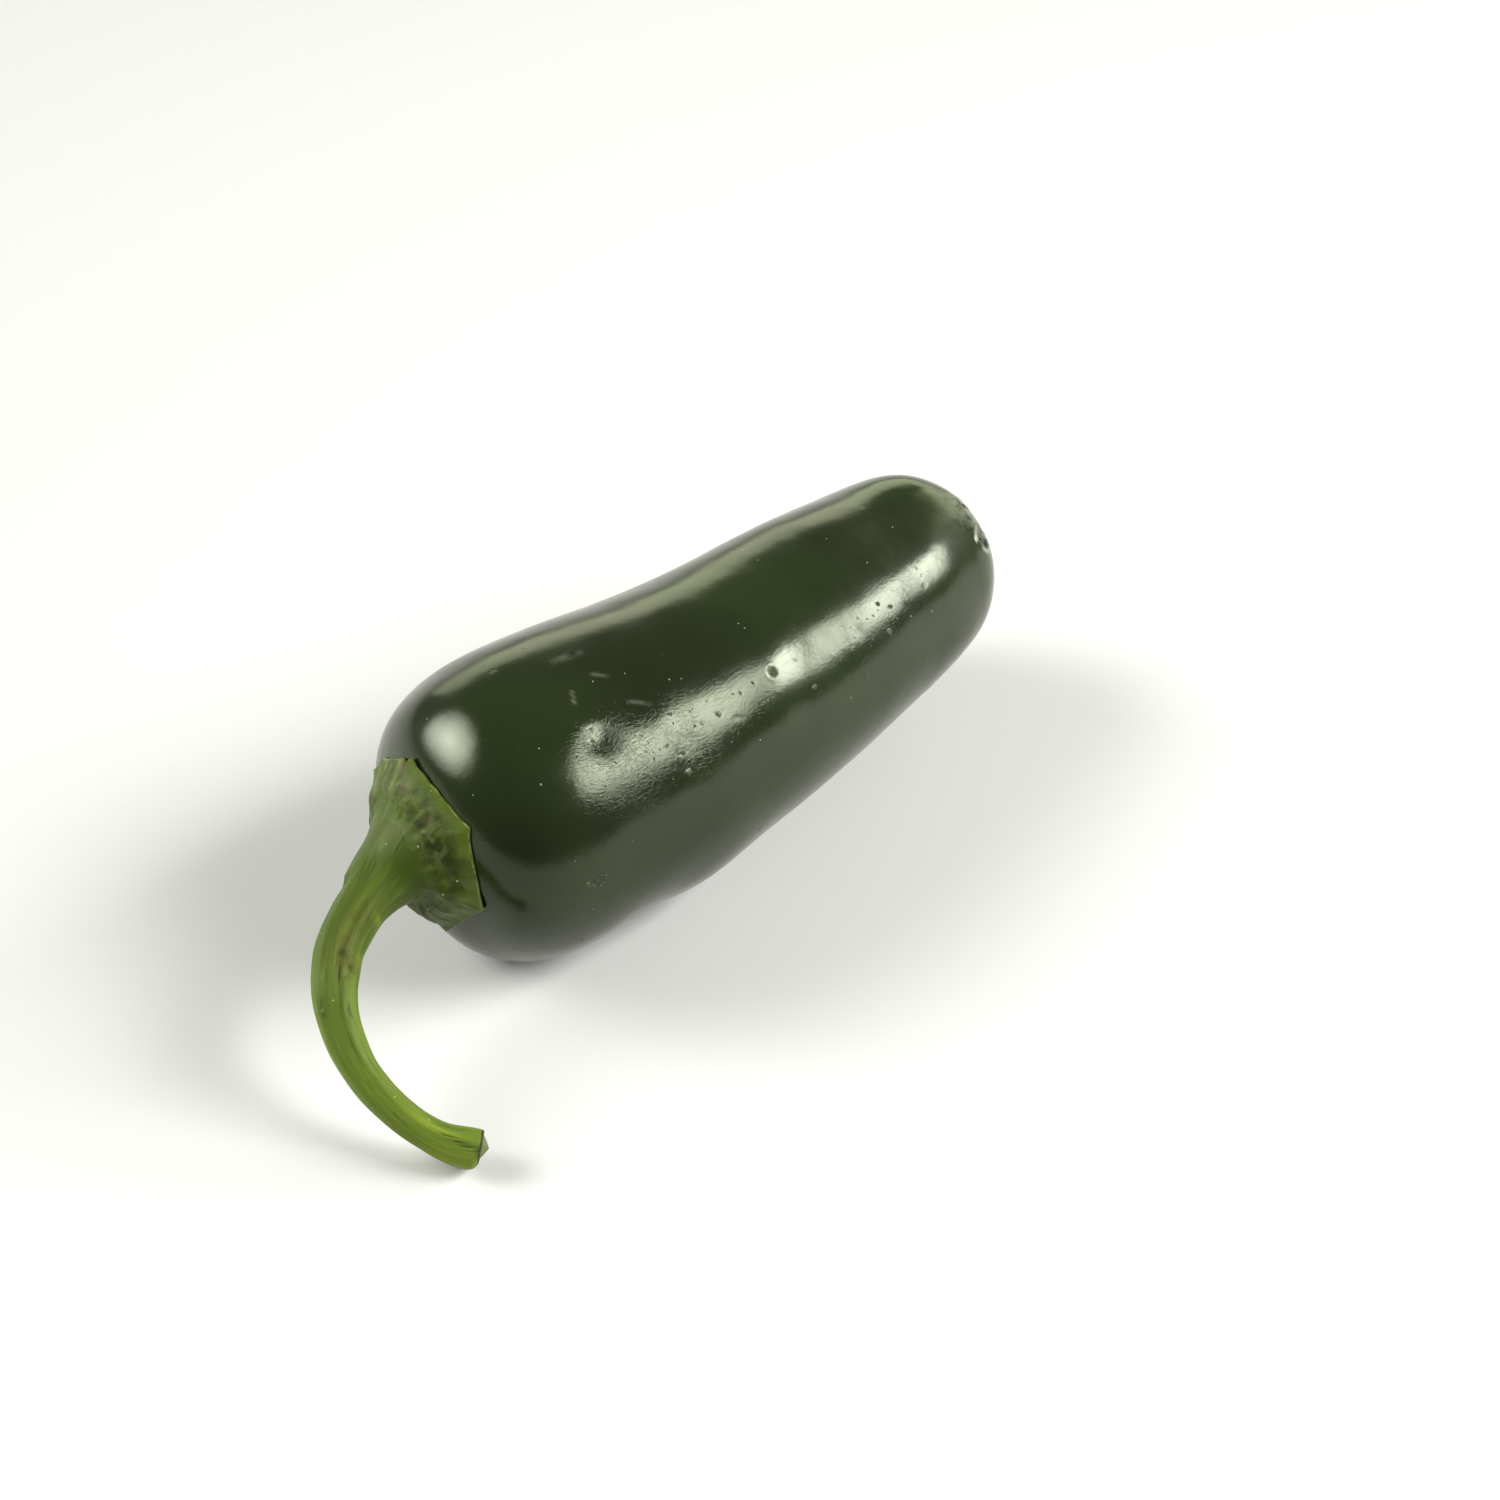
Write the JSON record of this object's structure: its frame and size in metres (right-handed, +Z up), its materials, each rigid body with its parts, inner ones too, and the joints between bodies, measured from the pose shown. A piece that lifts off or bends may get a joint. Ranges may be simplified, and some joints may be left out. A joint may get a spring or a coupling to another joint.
{
  "type": "jalapeno pepper",
  "caption": "Green jalapeno pepper lying on its side: a glossy tapered pod, a thin cornered calyx and a hooked stem.",
  "frame": {"origin": "on the surface that the pepper lies on, under the belly of the pod, in the middle of its flat spot", "axes": "+X along the pod from its stem end to its tip, +Z up from the surface; the stem hooks round towards -Y"},
  "size_m": [0.0977, 0.0432, 0.0318],
  "materials": {
    "pod_skin": "waxy gloss",
    "calyx_green": "matte",
    "stem_green": "satin"
  },
  "bodies": {
    "root": {"pod": "pod_skin", "calyx": "calyx_green", "stem": "stem_green"}
  },
  "joints": []
}
